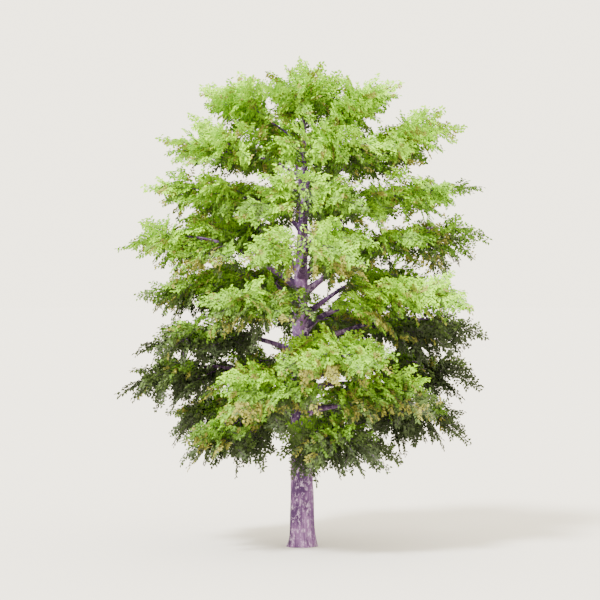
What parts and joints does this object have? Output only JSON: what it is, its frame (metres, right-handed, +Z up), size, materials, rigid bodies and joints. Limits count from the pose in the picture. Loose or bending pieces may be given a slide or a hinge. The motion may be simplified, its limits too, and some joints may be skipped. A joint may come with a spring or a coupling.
{
  "type": "beech tree",
  "caption": "Tall broadleaf tree in full summer leaf: a smooth straight trunk with a root flare, spreading boughs and an egg-shaped crown.",
  "frame": {"origin": "centre of the flat cut under the trunk, at ground level", "axes": "+Z up the trunk, -Y towards the picture's camera, +X to its right"},
  "size_m": [16.5837, 14.2943, 22],
  "materials": {
    "bark": "smooth mauve-grey beech bark",
    "foliage": "fresh green beech leaves on thin twigs"
  },
  "bodies": {
    "root": {"bough_low_back": "bark", "bough_low_front": "bark", "bough_low_front_right": "bark", "bough_low_left": "bark", "bough_low_right": "bark", "bough_middle_back_left": "bark", "bough_middle_back_right": "bark", "bough_middle_front_left": "bark", "bough_middle_front_right": "bark", "bough_middle_left": "bark", "bough_plate_back": "bark", "bough_plate_front_right": "bark", "bough_plate_left": "bark", "bough_plate_right": "bark", "bough_shoulder_back_left": "bark", "bough_shoulder_back_right": "bark", "bough_shoulder_front": "bark", "bough_shoulder_left": "bark", "bough_shoulder_right": "bark", "bough_skirt_back": "bark", "bough_skirt_front_left": "bark", "bough_skirt_front_right": "bark", "bough_skirt_left": "bark", "bough_skirt_right": "bark", "foliage_crest_left": "foliage", "foliage_crest_right": "foliage", "foliage_high_back": "foliage", "foliage_high_front": "foliage", "foliage_high_left": "foliage", "foliage_high_right": "foliage", "foliage_low_back": "foliage", "foliage_low_front": "foliage", "foliage_low_front_right": "foliage", "foliage_low_left": "foliage", "foliage_low_right": "foliage", "foliage_middle_back_left": "foliage", "foliage_middle_back_right": "foliage", "foliage_middle_front_left": "foliage", "foliage_middle_front_right": "foliage", "foliage_middle_left": "foliage", "foliage_plate_back": "foliage", "foliage_plate_front_right": "foliage", "foliage_plate_left": "foliage", "foliage_plate_right": "foliage", "foliage_shoulder_back_left": "foliage", "foliage_shoulder_back_right": "foliage", "foliage_shoulder_front": "foliage", "foliage_shoulder_left": "foliage", "foliage_shoulder_right": "foliage", "foliage_skirt_back": "foliage", "foliage_skirt_front_left": "foliage", "foliage_skirt_front_right": "foliage", "foliage_skirt_left": "foliage", "foliage_skirt_right": "foliage", "foliage_top_of_the_crown": "foliage", "foliage_upper_back": "foliage", "foliage_upper_front": "foliage", "foliage_upper_left": "foliage", "foliage_upper_right": "foliage", "trunk": "bark"}
  },
  "joints": []
}
